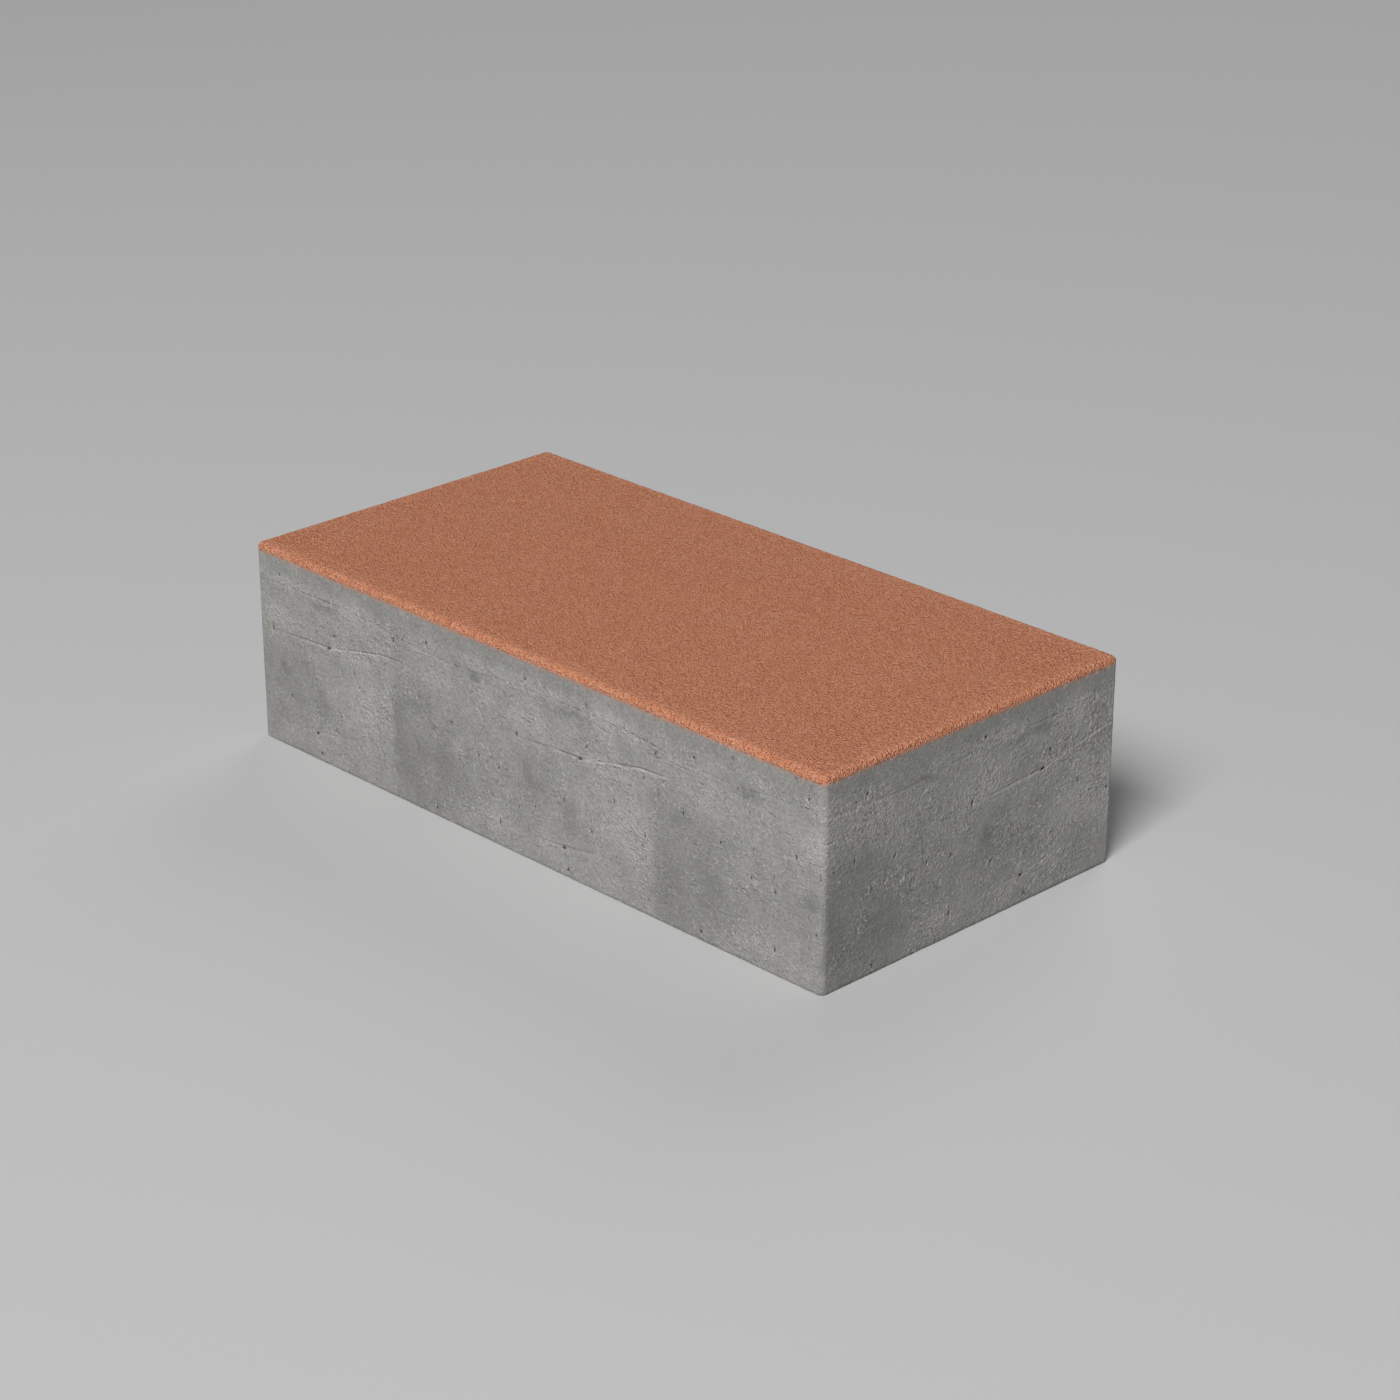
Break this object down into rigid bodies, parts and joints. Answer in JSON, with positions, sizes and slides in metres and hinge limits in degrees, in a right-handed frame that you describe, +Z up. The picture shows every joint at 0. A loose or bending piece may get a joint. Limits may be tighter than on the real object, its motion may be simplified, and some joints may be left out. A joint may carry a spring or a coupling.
{
  "type": "concrete paving stone",
  "caption": "Rectangular concrete paving stone: a grey base block under a thin terracotta face layer, with rounded upright corners and an eased top edge.",
  "frame": {"origin": "middle of the bed face, on the ground that the stone lies on", "axes": "+X along the length, +Y across the width, +Z up to the walked-on face"},
  "size_m": [0.298, 0.148, 0.08],
  "materials": {
    "base_concrete": "fair-faced grey concrete, matt, with small pores",
    "face_concrete": "through-coloured terracotta concrete, matt and fine-grained"
  },
  "bodies": {
    "root": {"base_block": "base_concrete", "face_layer": "face_concrete"}
  },
  "joints": []
}
